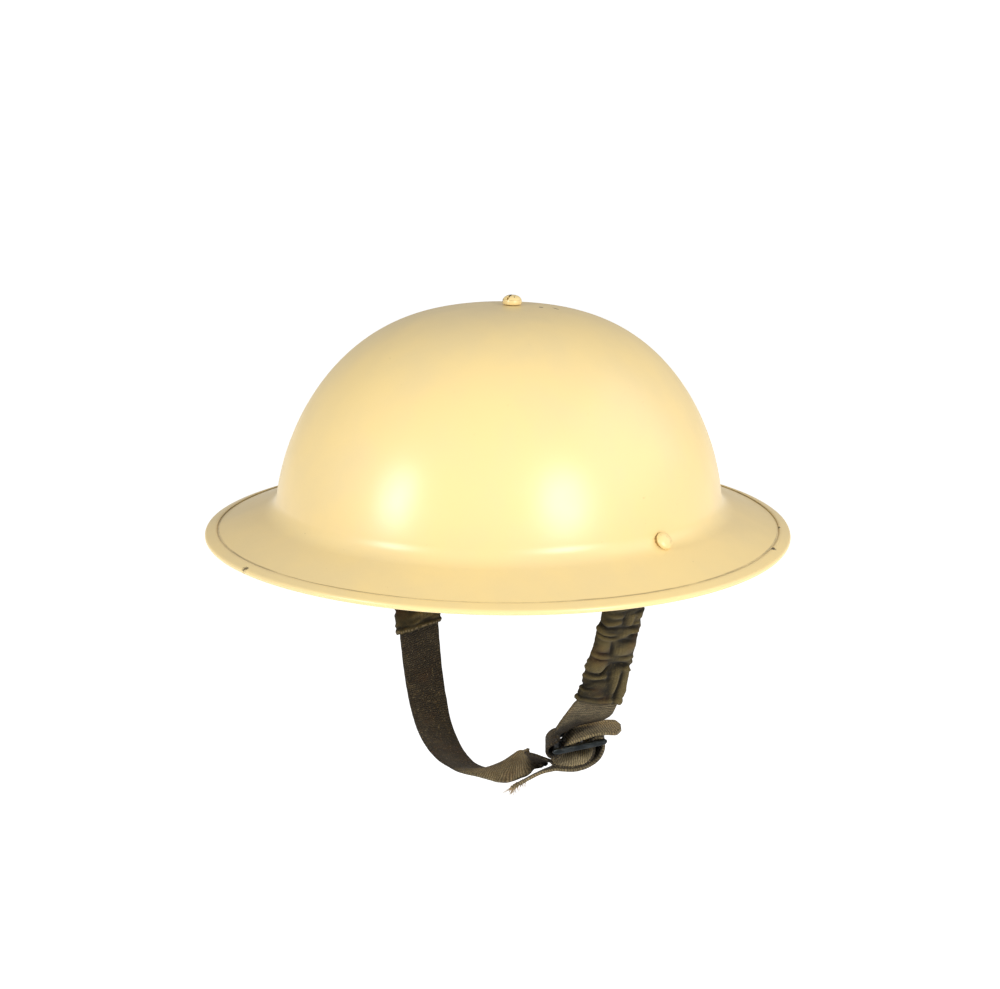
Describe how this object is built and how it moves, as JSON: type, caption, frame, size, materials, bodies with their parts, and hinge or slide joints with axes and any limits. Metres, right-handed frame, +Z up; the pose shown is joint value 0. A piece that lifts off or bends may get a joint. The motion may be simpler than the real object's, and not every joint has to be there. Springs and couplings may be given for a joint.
{
  "type": "wide-brimmed steel helmet",
  "caption": "Domed steel helmet with a wide sloping brim, folded rim strip, crown screw and webbing chin strap joined by a slide.",
  "frame": {"origin": "where the crown rests on a head: on the inside of the shell at the dome's top", "axes": "+Z up; -Y the wearer's front; +X the wearer's left, where the strap's slide is"},
  "size_m": [0.292, 0.31, 0.2561],
  "materials": {
    "shell": "worn satin sand paint",
    "rim_band": "worn satin sand paint",
    "crown_screw": "chipped satin sand paint",
    "crown_nut": "dull bare steel",
    "left_rivet": "satin sand paint",
    "right_rivet": "satin sand paint",
    "left_lug": "dull bare steel",
    "right_lug": "dull bare steel",
    "left_sleeve": "ruched olive-brown cloth",
    "right_sleeve": "ruched dark olive-brown cloth",
    "right_webbing": "woven cotton webbing, khaki outside and dark brown inside",
    "left_webbing": "woven cotton webbing, khaki outside and dark brown inside",
    "strap_slide": "blued steel"
  },
  "bodies": {
    "root": {"shell": "shell", "rim_band": "rim_band", "crown_screw": "crown_screw", "crown_nut": "crown_nut", "left_rivet": "left_rivet", "right_rivet": "right_rivet", "left_lug": "left_lug", "right_lug": "right_lug", "left_sleeve": "left_sleeve", "right_sleeve": "right_sleeve", "right_webbing": "right_webbing", "left_webbing": "left_webbing", "strap_slide": "strap_slide"}
  },
  "joints": []
}
